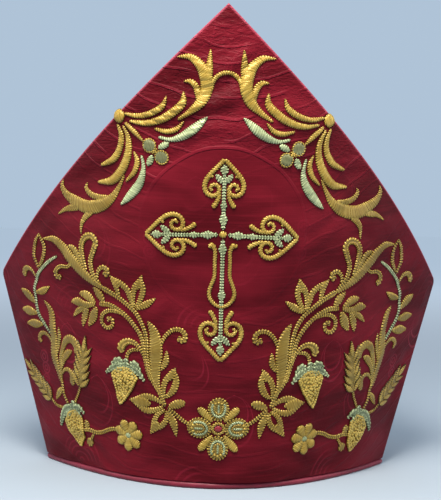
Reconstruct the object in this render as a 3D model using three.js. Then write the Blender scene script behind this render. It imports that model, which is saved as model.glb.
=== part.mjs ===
// A bishop's mitre standing open on its rim.
//
// Two stiff shield-shaped panels, damask over buckram, are cut flat with straight edges and sewn
// together up both sides. Opening the rim for a head bends each panel round a cone whose point lies
// below the rim, so the peaks lean apart. A cloth gusset joins the two peaks and falls between them
// as a soft valley, which closes the crown. A rolled binding finishes the rim.
//
// Millimetres. +Z is up, the wearer faces -Y, and the origin is the middle of the rim on the surface
// that it stands on.
import * as THREE from "three";

// Sizes of the open mitre, on the outside of the panels.
const RIM_HALF_WIDTH = 117;
const RIM_HALF_DEPTH = 84.5;
const PEAK_HEIGHT = 293;
const SEAM_HEIGHT = 130;
const CONE_POINT_DEPTH = 440; // how far below the rim the panels' straight lines meet
const SHOULDER_DROP = 5; // how much the rounded shoulder lies below its sharp corner
const SHOULDER_REACH = 8; // how far from the side seam the rounding runs

// Cloth thicknesses and the clearances between sewn pieces.
const PANEL_THICKNESS = 2.4;
const GUSSET_THICKNESS = 1.2;
const SEWN_GAP = 0.3;

// The gusset hangs from just under the panels' top edges.
const GUSSET_INSET = 3;
const GUSSET_FALL = 0.67; // valley depth as a share of the peak's height above the shoulders
const GUSSET_REACH = 0.95; // how near to the side seams it runs, as a share of the half width

// The binding's section: how far each corner lies inside the panel's outer face, and its height.
const BINDING_HEIGHT = 4;
const BINDING_SECTION = [
  { inside: 0.4, height: 0 },
  { inside: -0.5, height: 0.8 },
  { inside: -0.8, height: 2 },
  { inside: -0.5, height: 3.4 },
  { inside: 0.4, height: BINDING_HEIGHT },
  { inside: PANEL_THICKNESS - 0.4, height: BINDING_HEIGHT },
  { inside: PANEL_THICKNESS + 0.5, height: 3.4 },
  { inside: PANEL_THICKNESS + 0.8, height: 2 },
  { inside: PANEL_THICKNESS + 0.5, height: 0.8 },
  { inside: PANEL_THICKNESS - 0.4, height: 0 },
];

// How finely the curved pieces are divided.
const PANEL_COLUMNS = 48;
const PANEL_ROWS = 6;
const GUSSET_COLUMNS = 36;
const GUSSET_ROWS = 16;

// Finishes.
const DAMASK = new THREE.MeshStandardMaterial({ color: 0x6e1426, roughness: 0.55, metalness: 0 });
const LINING = new THREE.MeshStandardMaterial({ color: 0x64101f, roughness: 0.45, metalness: 0 });
const BINDING = new THREE.MeshStandardMaterial({ color: 0x7c1a2c, roughness: 0.5, metalness: 0 });

// How far a wall's depth shows sideways where the panel meets its side seam.
const SIDE_SLANT = Math.hypot(1, RIM_HALF_WIDTH / (2 * RIM_HALF_DEPTH));

// Share by which the cone has grown from the rim to a height.
function growth(height) {
  return 1 + height / CONE_POINT_DEPTH;
}

// Point on the front panel. Across runs from -1 at one side seam to 1 at the other, and inside is
// the depth below the panel's outer face.
function panelPoint(across, height, inside = 0) {
  const halfWidth = RIM_HALF_WIDTH * growth(height) - inside * SIDE_SLANT;
  const halfDepth = RIM_HALF_DEPTH * growth(height) - inside;
  const forward = Math.max(halfDepth * (1 - across * across), SEWN_GAP / 2);
  return new THREE.Vector3(halfWidth * across, -forward, height);
}

// Columns from one side seam to the other, closer together near the seams.
function acrossColumns(count, reach = 1) {
  return Array.from({ length: count + 1 }, (_, i) => reach * Math.sin(Math.PI * (i / count - 0.5)));
}

// Direction and length of each straight line of the cone, and its angle when the panel is laid flat.
const CONE_POINT = new THREE.Vector3(0, 0, -CONE_POINT_DEPTH);
const FLAT_STEPS = 240;
const FLAT_ANGLES = flatAngles();

function rulingAt(across) {
  const rimPoint = new THREE.Vector3(
    RIM_HALF_WIDTH * across,
    -RIM_HALF_DEPTH * (1 - across * across),
    0,
  );
  return rimPoint.sub(CONE_POINT);
}

function flatAngles() {
  const angles = [0];
  for (let i = 1; i <= FLAT_STEPS; i += 1) {
    const turn = rulingAt((i - 1) / FLAT_STEPS).angleTo(rulingAt(i / FLAT_STEPS));
    angles.push(angles[i - 1] + turn);
  }
  return angles;
}

function flatAngle(across) {
  const place = Math.min(Math.abs(across), 1) * FLAT_STEPS;
  const before = Math.min(Math.floor(place), FLAT_STEPS - 1);
  return THREE.MathUtils.lerp(FLAT_ANGLES[before], FLAT_ANGLES[before + 1], place - before);
}

// Height of the panel's top edge, which is a straight cut from shoulder to peak on the flat panel.
function topEdgeHeight(across) {
  const shoulderRadius = rulingAt(1).length() * growth(SEAM_HEIGHT);
  const shoulderAngle = flatAngle(1);
  const shoulder = new THREE.Vector2(
    shoulderRadius * Math.sin(shoulderAngle),
    shoulderRadius * Math.cos(shoulderAngle),
  );
  const peak = new THREE.Vector2(0, rulingAt(0).length() * growth(PEAK_HEIGHT));
  const edgeNormal = new THREE.Vector2(peak.y - shoulder.y, shoulder.x - peak.x);
  const angle = flatAngle(across);
  const ruling = new THREE.Vector2(Math.sin(angle), Math.cos(angle));
  const radius = edgeNormal.dot(peak) / edgeNormal.dot(ruling);
  const sharp = CONE_POINT_DEPTH * (radius / rulingAt(across).length() - 1);
  const fromSeam = (1 - Math.abs(across)) * RIM_HALF_WIDTH * growth(SEAM_HEIGHT) * SIDE_SLANT;
  const rounding = Math.max(1 - fromSeam / SHOULDER_REACH, 0);
  return sharp - SHOULDER_DROP * rounding * rounding;
}

// Closed wall between two grids of points that run the same way.
function wallBetween(face, reverse) {
  const rows = face.length;
  const columns = face[0].length;
  const positions = [...face.flat(), ...reverse.flat()].flatMap((p) => [p.x, p.y, p.z]);
  const index = [];
  const onFace = (row, column) => row * columns + column;
  const onReverse = (row, column) => rows * columns + row * columns + column;
  const quad = (a, b, c, d) => index.push(a, b, c, a, c, d);
  for (let row = 0; row + 1 < rows; row += 1) {
    for (let column = 0; column + 1 < columns; column += 1) {
      const corners = [[row, column], [row, column + 1], [row + 1, column + 1], [row + 1, column]];
      quad(...corners.map(([r, c]) => onFace(r, c)));
      quad(...corners.reverse().map(([r, c]) => onReverse(r, c)));
    }
  }
  const border = [
    ...Array.from({ length: columns - 1 }, (_, c) => [0, c]),
    ...Array.from({ length: rows - 1 }, (_, r) => [r, columns - 1]),
    ...Array.from({ length: columns - 1 }, (_, c) => [rows - 1, columns - 1 - c]),
    ...Array.from({ length: rows - 1 }, (_, r) => [rows - 1 - r, 0]),
  ];
  border.forEach((from, i) => {
    const to = border[(i + 1) % border.length];
    quad(onReverse(...from), onReverse(...to), onFace(...to), onFace(...from));
  });
  return solidGeometry(positions, index);
}

function solidGeometry(positions, index) {
  const geometry = new THREE.BufferGeometry();
  geometry.setAttribute("position", new THREE.Float32BufferAttribute(positions, 3));
  geometry.setIndex(index);
  geometry.computeVertexNormals();
  return geometry;
}

// One stiff panel, from just above the binding to its straight top edges.
function panelGeometry() {
  const lowerEdge = BINDING_HEIGHT + SEWN_GAP;
  const columns = acrossColumns(PANEL_COLUMNS);
  const grid = (inside) =>
    Array.from({ length: PANEL_ROWS + 1 }, (_, row) =>
      columns.map((across) => {
        const height = THREE.MathUtils.lerp(lowerEdge, topEdgeHeight(across), row / PANEL_ROWS);
        return panelPoint(across, height, inside);
      }),
    );
  return wallBetween(grid(0), grid(PANEL_THICKNESS));
}

// Underside of the gusset, which hangs in a parabola from panel to panel. Along runs from -1 at the
// front panel to 1 at the back panel.
function gussetPoint(across, along) {
  const hangingHeight = topEdgeHeight(across) - GUSSET_INSET;
  const hanging = panelPoint(across, hangingHeight, PANEL_THICKNESS + SEWN_GAP);
  const drop = Math.max(hangingHeight - SEAM_HEIGHT, 0) * GUSSET_FALL;
  const height = hangingHeight - drop * (1 - along * along);
  return new THREE.Vector3(hanging.x, hanging.y * -along, height);
}

// Cloth valley between the two peaks.
function gussetGeometry() {
  const STEP = 0.01;
  const columns = acrossColumns(GUSSET_COLUMNS, GUSSET_REACH);
  const rows = Array.from({ length: GUSSET_ROWS + 1 }, (_, row) => (2 * row) / GUSSET_ROWS - 1);
  const normalAt = (across, along) => {
    const sideways = gussetPoint(across + STEP, along).sub(gussetPoint(across - STEP, along));
    const backwards = gussetPoint(across, along + STEP).sub(gussetPoint(across, along - STEP));
    return sideways.cross(backwards).normalize();
  };
  const underside = rows.map((along) => columns.map((across) => gussetPoint(across, along)));
  const topside = rows.map((along, r) =>
    columns.map((across, c) =>
      underside[r][c].clone().addScaledVector(normalAt(across, along), GUSSET_THICKNESS),
    ),
  );
  return wallBetween(topside, underside);
}

// Rolled binding that runs right round the rim.
function bindingGeometry() {
  const columns = acrossColumns(PANEL_COLUMNS);
  const front = columns.slice(0, -1).map((across) => ({ across, side: 1 }));
  const back = columns.slice(1).reverse().map((across) => ({ across, side: -1 }));
  const stations = [...front, ...back];
  const corners = BINDING_SECTION.length;
  const positions = stations.flatMap(({ across, side }) =>
    BINDING_SECTION.flatMap(({ inside, height }) => {
      const halfWidth = RIM_HALF_WIDTH - inside * SIDE_SLANT;
      const halfDepth = RIM_HALF_DEPTH - inside;
      return [halfWidth * across, -side * halfDepth * (1 - across * across), height];
    }),
  );
  const index = [];
  stations.forEach((_, station) => {
    const next = (station + 1) % stations.length;
    for (let corner = 0; corner < corners; corner += 1) {
      const after = (corner + 1) % corners;
      const a = station * corners + corner;
      const b = next * corners + corner;
      const c = next * corners + after;
      const d = station * corners + after;
      index.push(a, b, c, a, c, d);
    }
  });
  return solidGeometry(positions, index);
}

function piece(name, geometry, material) {
  const mesh = new THREE.Mesh(geometry, material);
  mesh.name = name;
  return mesh;
}

const mitre = new THREE.Group();
const frontPanel = piece("front_panel", panelGeometry(), DAMASK);
const backPanel = piece("back_panel", panelGeometry(), DAMASK);
backPanel.rotation.z = Math.PI;
mitre.add(frontPanel, backPanel);
mitre.add(piece("crown_gusset", gussetGeometry(), LINING));
mitre.add(piece("rim_binding", bindingGeometry(), BINDING));

export default mitre;
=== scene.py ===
"""Looks of a bishop's mitre: red damask panels with raised gold and pale green embroidery.

Each panel is flat cloth rolled round a cone, so the embroidery is drawn on the flat panel, in
millimetres from the middle of the rim, and is carried from there onto the cone.
"""
import math

import bpy
import numpy as np
from mathutils import Matrix, Vector


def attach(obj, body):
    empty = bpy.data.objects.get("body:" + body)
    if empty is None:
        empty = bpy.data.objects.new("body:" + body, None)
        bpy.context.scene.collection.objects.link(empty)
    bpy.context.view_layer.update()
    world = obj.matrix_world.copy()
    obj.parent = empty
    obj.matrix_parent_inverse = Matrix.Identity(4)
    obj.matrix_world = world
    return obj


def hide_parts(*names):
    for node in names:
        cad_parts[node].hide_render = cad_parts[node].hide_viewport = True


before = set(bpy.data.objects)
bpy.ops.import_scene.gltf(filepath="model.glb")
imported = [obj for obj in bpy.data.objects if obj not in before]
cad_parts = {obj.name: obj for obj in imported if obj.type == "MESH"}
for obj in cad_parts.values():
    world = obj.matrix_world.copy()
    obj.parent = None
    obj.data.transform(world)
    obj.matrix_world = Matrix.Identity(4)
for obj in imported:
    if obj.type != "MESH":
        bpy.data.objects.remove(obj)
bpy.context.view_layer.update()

MM = 0.001

# Sizes of the mitre in millimetres, the same as those of its solids.
RIM_HALF_WIDTH = 117
RIM_HALF_DEPTH = 84.5
PEAK_HEIGHT = 293
SEAM_HEIGHT = 130
CONE_POINT_DEPTH = 440
PANEL_THICKNESS = 2.4
SEWN_GAP = 0.3
BINDING_HEIGHT = 4
PANEL_LOWER_EDGE = BINDING_HEIGHT + SEWN_GAP
GUSSET_INSET = 3

# Sizes that only the cloth has, in millimetres: the slit and the trim at the side seams, and the
# rounding of the shoulders on the flat panel.
SEAM_SLIT = 0.02
SEAM_TRIM = 0.2
SHOULDER_RADIUS = 7

# The cross and the quilted ring round it, in millimetres on the flat panel.
CROSS_HEIGHT = 163.2
RING_RADIUS = 53.5

# Seeds of the puckers in the two panels.
FRONT_SEED = 40
BACK_SEED = 70

# Camera, fitted to the outline in the photograph.
CAMERA_PLACE = Vector((-0.0125, -0.7902, 0.1689))
CAMERA_YAW = math.radians(0.95)
CAMERA_PITCH = math.radians(-1.51)
CAMERA_ROLL = math.radians(1.24)
FOCAL_PIXELS = 1131.2
PHOTO_HEIGHT = 500

random = np.random.default_rng(12)


# The cone that the panels are rolled on

ACROSS = np.linspace(-1, 1, 801)


def ruling(across):
    """Straight line of the cone, from its point to the rim."""
    depth = -RIM_HALF_DEPTH * (1 - across * across)
    return np.stack([RIM_HALF_WIDTH * across, depth, CONE_POINT_DEPTH + 0 * across], -1)


def flat_angles():
    unit = ruling(ACROSS)
    unit = unit / np.linalg.norm(unit, axis=1)[:, None]
    turn = np.arccos(np.clip((unit[1:] * unit[:-1]).sum(1), -1, 1))
    angles = np.concatenate([[0], np.cumsum(turn)])
    return angles - angles[len(angles) // 2]


FLAT_ANGLES = flat_angles()
FLAT_RADIUS = math.hypot(RIM_HALF_DEPTH, CONE_POINT_DEPTH)


def growth(height):
    return 1 + height / CONE_POINT_DEPTH


def on_cone(flat):
    """Points of the flat panel, rolled round the cone."""
    sideways = flat[..., 0]
    upwards = flat[..., 1] + FLAT_RADIUS
    across = np.interp(np.arctan2(sideways, upwards), FLAT_ANGLES, ACROSS)
    direction = ruling(across)
    share = np.hypot(sideways, upwards) / np.linalg.norm(direction, axis=-1)
    return direction * share[..., None] - np.array([0, 0, CONE_POINT_DEPTH])


def outward(flat, step=0.6):
    """Direction that the rolled panel faces."""
    sideways = on_cone(flat + [step, 0]) - on_cone(flat - [step, 0])
    upwards = on_cone(flat + [0, step]) - on_cone(flat - [0, step])
    normal = np.cross(sideways, upwards)
    return normal / np.linalg.norm(normal, axis=-1)[..., None]


def flat_point(across_end, height):
    """Place on the flat panel of a point on a seam, or on the middle line."""
    angle = np.interp(across_end, ACROSS, FLAT_ANGLES)
    radius = np.linalg.norm(ruling(np.array(float(across_end)))) * growth(height)
    return np.array([radius * math.sin(angle), radius * math.cos(angle) - FLAT_RADIUS])


PEAK = flat_point(0, PEAK_HEIGHT)
SHOULDER = flat_point(1, SEAM_HEIGHT)
SEAM_FOOT = flat_point(1, 0)


def outward_of(edge):
    """Direction square to a cut edge of the right half, away from the middle line."""
    normal = np.array([edge[1], -edge[0]]) / np.linalg.norm(edge)
    return normal if normal[0] > 0 else -normal


SEAM_NORMAL = outward_of(SHOULDER - SEAM_FOOT)
TOP_NORMAL = outward_of(PEAK - SHOULDER)


def panel_cuts():
    """Straight cuts of the right half of the flat panel: a point on each and its outward direction."""
    cuts = [(SHOULDER - SEAM_NORMAL * SEAM_TRIM, SEAM_NORMAL), (PEAK, TOP_NORMAL)]
    middle = SEAM_NORMAL + TOP_NORMAL
    middle = middle / np.linalg.norm(middle)
    centre = SHOULDER - middle * SHOULDER_RADIUS / np.dot(middle, SEAM_NORMAL)
    for share in (0.2, 0.4, 0.6, 0.8):
        normal = SEAM_NORMAL * (1 - share) + TOP_NORMAL * share
        normal = normal / np.linalg.norm(normal)
        cuts.append((centre + normal * SHOULDER_RADIUS, normal))
    return cuts


PANEL_CUTS = panel_cuts()


def from_edge(flat):
    """How far a point of the flat panel lies inside its nearest cut edge."""
    folded = np.stack([np.abs(flat[..., 0]), flat[..., 1]], -1)
    inside = [((place - folded) * normal).sum(-1) for place, normal in PANEL_CUTS]
    return np.min(inside, axis=0)


def from_top_edge(flat):
    """How far a point of the flat panel lies below its straight top edges."""
    folded = np.stack([np.abs(flat[..., 0]), flat[..., 1]], -1)
    return ((PEAK - folded) * TOP_NORMAL).sum(-1)


# The relief of the cloth

def smooth_step(low, high, value):
    share = np.clip((value - low) / (high - low), 0, 1)
    return share * share * (3 - 2 * share)


def wave_field(flat, count, length, spread, tilt, seed):
    """Soft random waves with ridges that lie mostly level."""
    draw = np.random.default_rng(seed)
    total = 0
    for _ in range(count):
        angle = draw.normal(math.pi / 2, tilt)
        wavelength = length * draw.uniform(1 - spread, 1 + spread)
        phase = draw.uniform(0, 2 * math.pi)
        along = flat[..., 0] * math.cos(angle) + flat[..., 1] * math.sin(angle)
        total = total + np.sin(2 * math.pi * along / wavelength + phase)
    return total / math.sqrt(count)


# Heights on the flat panel between which the puckers grow stronger, how far from its edges the cloth
# rolls over, and how far it drops there, in millimetres.
PUCKERS_START = 185
PUCKERS_FULL = 258
EDGE_ROLL = 1.3
EDGE_DROP = 0.8


def cloth_relief(flat, seed):
    """Height of the puckered cloth over the smooth cone, in millimetres."""
    inside = from_edge(flat)
    upper = smooth_step(PUCKERS_START, PUCKERS_FULL, flat[..., 1])
    bend = wave_field(flat, count=4, length=80, spread=0.3, tilt=1.5, seed=seed) * 7
    bent = np.stack([flat[..., 0], flat[..., 1] + bend], -1)
    swell = wave_field(flat, count=5, length=75, spread=0.3, tilt=1.2, seed=seed + 1) * 0.7
    pucker = wave_field(bent, count=5, length=19, spread=0.3, tilt=0.35, seed=seed + 2)
    crease = wave_field(bent, count=4, length=9, spread=0.25, tilt=0.3, seed=seed + 3)
    patches = wave_field(flat, count=5, length=60, spread=0.4, tilt=1.5, seed=seed + 4)
    patches = smooth_step(-0.3, 1.2, patches)
    around_cross = np.hypot(flat[..., 0], flat[..., 1] - CROSS_HEIGHT)
    slack = 0.35 + 0.65 * smooth_step(RING_RADIUS - 8, RING_RADIUS + 2, around_cross)
    relief = pucker * (0.26 + 0.34 * upper) + np.abs(crease) * (patches * 0.26 + 0.4 * upper)
    relief = swell + relief * slack
    relief = relief * smooth_step(0, 14, inside)
    rolled = np.clip(1 - inside / EDGE_ROLL, 0, 1)
    return relief - EDGE_DROP * (1 - np.sqrt(np.clip(1 - rolled * rolled, 0, 1)))


# Drawing of the embroidery on the left half of the flat panel. Points are millimetres to the side of
# the middle line and up from the rim, and the third number is the width there.

def satin(*points):
    return ("satin", points)


def braid(*points):
    return ("braid", points)


def leaf(*points):
    return ("leaf", points)


def cap(*points):
    return ("cap", points)


def flat_satin(*points):
    return ("flat", points)


def disc(side, up, radius, style="satin"):
    width = 2 * radius
    return (style, ((side - radius, up, width), (side, up, width), (side + radius, up, width)))


UPPER_GOLD = [
    satin((-28.2, 230.9, 1.5), (-20.9, 235.9, 3.2), (-14.6, 242, 5.6), (-11.6, 250, 6.6),
          (-12.6, 257.5, 6.6), (-16, 263.3, 5), (-21.5, 267.3, 3.4), (-29.1, 267.3, 0.8)),
    satin((-11.5, 252, 3.5), (-10.6, 259, 4.2), (-10.2, 265.5, 3), (-9.8, 272, 0.9)),
    satin((-16.3, 240.5, 1.4), (-16.6, 246, 3.2), (-18.2, 250.8, 3.4), (-21.3, 253.3, 2.6),
          (-25.3, 253.2, 0.9)),
    satin((-62.3, 232.6, 1.6), (-52.7, 231.8, 2.7), (-44, 234.2, 3.3), (-37.6, 238.6, 3.1),
          (-35.4, 244.3, 0.9)),
    satin((-58.5, 228.5, 1.4), (-49, 227.7, 3), (-40, 229.9, 3.9), (-31.5, 234.8, 4.5),
          (-25.4, 241, 3.9), (-25.2, 247.3, 0.9)),
    satin((-42.6, 224.8, 1.4), (-35, 223.5, 2.7), (-29, 225.3, 2.7), (-24.6, 230, 0.9)),
    satin((-61.8, 227.3, 1.8), (-56, 222.5, 3), (-49.5, 216.8, 1.2)),
    disc(-65.9, 230.9, 3.8),
    satin((-67.1, 226, 1.4), (-64.7, 219.5, 3), (-65.7, 211.5, 3.6), (-70, 204.8, 3.8),
          (-79.3, 199.9, 1.6)),
    satin((-63.3, 225.4, 1.3), (-60, 217.8, 3.1), (-60.2, 208.2, 4.3), (-64.2, 198.8, 5),
          (-71.4, 191.4, 4.6), (-82.2, 189.1, 1.6)),
    satin((-56.1, 210.2, 0.9), (-53.8, 204.6, 2.9), (-55.5, 198.2, 3), (-61.4, 191.8, 1.2)),
    flat_satin((-62.7, 195.2, 1.2), (-66.9, 187.3, 2.6), (-71.8, 180.3, 4.8), (-80, 175, 7),
               (-90.9, 172.4, 7.6), (-101, 174.6, 6.8), (-109, 178.6, 4.6), (-112, 183, 3),
               (-110.8, 187.2, 0.9)),
    flat_satin((-74.5, 180.8, 2), (-82.5, 179.8, 3.4), (-88.6, 181.3, 3.2), (-91.6, 184.6, 2.4),
               (-90.6, 187.8, 0.8)),
    flat_satin((-98, 172, 4.5), (-104, 170.2, 4), (-110, 168.4, 2.6), (-116.5, 164.5, 0.8)),
    flat_satin((-87, 170.6, 4), (-91.6, 167, 3.6), (-95.4, 161.8, 2.6), (-96.4, 154.7, 0.8)),
    satin((-43.8, 209.7, 1.3), (-40.6, 213, 1.3)),
    satin((-43.8, 212.6, 1.1), (-40.2, 210.2, 1.1)),
]

# The arch that joins the two halves below the peak.
UPPER_ARCH = satin((-9.4, 248, 2.6), (-7.6, 254.4, 2.8), (-4, 257.9, 2.6), (0, 258.9, 2.6),
                   (4, 257.9, 2.6), (7.6, 254.4, 2.8), (9.4, 248, 2.6))

# Round berries between the scrolls, and how much broader the scrolls are worked than drawn.
BERRIES = ((-45.7, 214.6), (-38, 208))
BERRY_RADIUS = 4.0
SCROLL_BREADTH = 1.14

UPPER_MINT = [
    satin((-40, 220, 1.4), (-32.5, 219, 2.3), (-25.8, 221, 4), (-19.3, 225.3, 4.9),
          (-14.3, 229.7, 3.4), (-10.7, 233, 0.9)),
    satin((-51.2, 208.3, 1.3), (-49.5, 200.8, 2.4), (-51.4, 192.6, 4.5), (-56.4, 185.7, 5),
          (-60.8, 181, 3.6), (-64.8, 177.2, 0.9)),
    satin((-39.8, 213.5, 2), (-36.5, 215.2, 3.6), (-33.3, 216.9, 2.4)),
    satin((-44, 208.9, 2), (-45.4, 205.6, 3.8), (-47, 202.6, 2.4)),
]

# Five open and solid leaves, the broad leaf over them, the stems of the vine and what grows on them.
VINE_GOLD = [
    leaf((-36.7, 59.5, 2.2), (-39.8, 67.5, 5), (-40.6, 77, 7.4), (-40.3, 86, 9), (-41.3, 95, 8),
         (-43.3, 101.3, 5), (-46.2, 105.8, 1.2)),
    braid((-37.2, 92.5, 2.2), (-34.2, 98, 2.5), (-29.3, 102.2, 2.7), (-24.4, 102.4, 3),
          (-21.6, 99.4, 3.2), (-22.6, 96, 3.2), (-25.2, 96.4, 3), (-24.8, 98.6, 2)),
    leaf((-36.6, 75.8, 1.6), (-33.6, 81.6, 4), (-33.2, 88.4, 1.4)),
    braid((-38, 62, 2.4), (-43.4, 70, 2.6), (-46, 80, 2.7), (-47, 92, 2.8), (-49.8, 102.6, 2.8),
          (-55, 110, 2.9), (-62, 115, 3), (-70, 119.2, 3.2), (-79, 122.3, 3.8)),
    braid((-43.6, 68, 2.2), (-46.8, 77.5, 2.6), (-48.8, 88, 2.8), (-52, 96.8, 2.9), (-58, 104, 2.9),
          (-66, 109.4, 2.9), (-74.3, 112, 3), (-82, 111.4, 3)),
    braid((-63, 107.6, 1.6), (-69.3, 108.7, 2.2), (-75.8, 107.8, 2.5), (-80.2, 103.8, 2.6),
          (-80.3, 99, 2.6), (-76.3, 96.6, 2.6), (-72.2, 98.8, 2.5), (-72, 102.6, 2.4),
          (-74.9, 103.2, 2.2), (-75.3, 101, 1.6)),
    braid((-47.3, 79, 1.8), (-50, 86, 2.4), (-54.6, 90, 2.9), (-59.6, 90.8, 3.8), (-63.6, 88.6, 5.2),
          (-65, 85.6, 5.4), (-64, 82.8, 4)),
    braid((-51.5, 86.4, 1.6), (-56.6, 85.8, 2.2), (-60, 83, 2.3), (-61, 78.6, 2.2)),
    leaf((-79, 122.4, 3), (-88, 125.6, 5), (-97, 130.6, 7.4), (-105.5, 136.8, 8), (-113.5, 142.8, 6.8),
         (-121.5, 146.8, 4.6), (-132.8, 145.4, 0.8)),
    leaf((-95.5, 133, 2.6), (-99.4, 139.4, 4), (-103.6, 143.8, 4), (-108.6, 145, 1.2)),
    braid((-92.4, 131, 2.6), (-95.9, 140, 4), (-96.3, 147.4, 4.2), (-92.6, 153.2, 4.2),
          (-87.2, 154.4, 4.2), (-84, 151, 4), (-86, 145, 3.6), (-88.8, 138, 3.4), (-86.4, 129.6, 3),
          (-81, 124.6, 2.2)),
    braid((-83.2, 127.6, 1.8), (-82.6, 132.6, 2.4), (-79, 135.8, 2.9), (-75.2, 134.6, 3.3),
          (-75.6, 131.6, 3.2), (-78.2, 132.4, 2)),
    braid((-104.5, 134.5, 2), (-109.8, 130.8, 2.2), (-115.6, 130, 2.5), (-119.6, 127.6, 2.8),
          (-121.4, 124, 3.4), (-119.2, 121.6, 3.6), (-117, 123.6, 2.4)),
    leaf((-66.4, 124.8, 3.6), (-69, 127.8, 4.4), (-73, 131.4, 0.9)),
    leaf((-67, 118.6, 2.4), (-68.2, 124, 3.4), (-72, 130.2, 1.4)),
    leaf((-71.6, 130.4, 1.4), (-65.6, 127.8, 3.8), (-60.8, 124.6, 4), (-58.6, 119.4, 3.8),
         (-56.8, 113.6, 2)),
    leaf((-53.6, 125.4, 3), (-52.2, 129, 4.4), (-50, 134.6, 0.9)),
    leaf((-56.2, 113.2, 2), (-56.6, 120, 3), (-55, 126.6, 3.4), (-50.8, 133, 1.2)),
    leaf((-50.6, 133, 1.2), (-49.4, 126.4, 3.4), (-51.2, 119.8, 3.4), (-55, 113, 1.8)),
    leaf((-54.4, 112.4, 2), (-47.4, 116.4, 4.4), (-41.4, 120.7, 1)),
    leaf((-85.6, 111, 2.4), (-93, 114.8, 5.6), (-99.6, 115.2, 2.2)),
    leaf((-85.6, 110.4, 2.6), (-95, 108.4, 4.6), (-101.6, 109, 5.8), (-107.4, 107.8, 1.4)),
    leaf((-94.6, 106.6, 2.6), (-102, 102.6, 3.6), (-107, 97.9, 0.9)),
    leaf((-92.6, 107, 3), (-96.4, 99.6, 5), (-97.2, 93.4, 1.6)),
    leaf((-84.4, 108.6, 2.6), (-88.4, 101.2, 6.6), (-92, 95, 1.8)),
    leaf((-78.6, 112.6, 2.4), (-82.4, 117.4, 5.8), (-87.4, 121.2, 1.4)),
    braid((-33.6, 52.4, 2.6), (-36, 57.6, 3), (-38.4, 64, 2.6)),
    leaf((-31.6, 70.2, 3.4), (-29.7, 73.6, 5), (-27.2, 78.2, 0.9)),
    leaf((-34.2, 57.6, 2), (-35, 63.8, 3.2), (-33, 70.4, 3.6), (-28.4, 76.4, 1.2)),
    leaf((-28, 76.6, 1.2), (-26.6, 70.4, 3.8), (-28.4, 63.8, 4.2), (-33, 58.4, 2)),
    leaf((-43.4, 52.4, 1.6), (-46.8, 52.5, 6.4), (-50.8, 52.8, 7.4), (-58.6, 52.8, 0.9)),
    leaf((-35.4, 53.8, 2.2), (-40.6, 56.4, 3.4), (-46.6, 56.8, 4.2), (-55.4, 53.8, 1.6)),
    leaf((-55.4, 51.6, 1.6), (-46.6, 47.8, 4.2), (-40.4, 48.9, 3.4), (-35, 52, 2.2)),
    leaf((-38.2, 41, 5), (-40.8, 37.2, 5.4), (-44, 32.4, 0.9)),
    leaf((-33.8, 50, 2), (-38.9, 46, 3), (-41.2, 40.4, 3.4), (-43.2, 34.8, 1.2)),
    leaf((-42.8, 34.6, 1.2), (-37, 38.2, 3.4), (-33.2, 42.8, 3.4), (-32.6, 49.4, 2)),
    leaf((-31.4, 49.4, 2), (-28.2, 42, 5.2), (-26.5, 33, 0.9)),
    leaf((-31.4, 52.2, 2.4), (-25.8, 54.8, 5.8), (-20.8, 56.3, 3.6)),
    braid((-32, 51.4, 2.2), (-27.6, 48.6, 2.3), (-22.8, 44.8, 2.3), (-17.2, 41.8, 2.2)),
]

# Grapes hang from two serrated caps.
VINE_MINT = [
    cap((-63, 74.6, 3.4), (-69.4, 72.6, 4.6), (-77, 67, 1.2)),
    cap((-59, 74.8, 3.4), (-53.4, 72.4, 4.6), (-47.8, 66.8, 1.2)),
    cap((-63.4, 76, 2.6), (-67.4, 77.2, 4.2), (-72, 74, 1.6)),
    cap((-58.4, 76, 2.6), (-55, 76.8, 4.2), (-50.8, 73.2, 1.6)),
    cap((-61.2, 71.2, 1.6), (-61.2, 75, 4.6), (-61.4, 79.4, 2.2)),
    cap((-63.6, 74, 2), (-66.2, 71.4, 3.6), (-68.6, 67.6, 1.2)),
    cap((-58.6, 74, 2), (-56, 71.4, 3.6), (-54.2, 67.6, 1.2)),
]

# Outlines of the bunches of grapes.
GRAPES = [
    ((-72, 68), (-69.6, 59.5), (-67.2, 51), (-65.4, 48), (-62.6, 51), (-57, 59), (-52.8, 68),
     (-56, 72.5), (-61.5, 74), (-68, 72.5)),
    ((-119.6, 21), (-115.7, 15.6), (-109, 10.5), (-103.4, 7.4), (-100.4, 14.3), (-100.4, 21.4),
     (-102, 29), (-108, 33), (-115.5, 29)),
]

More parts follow.
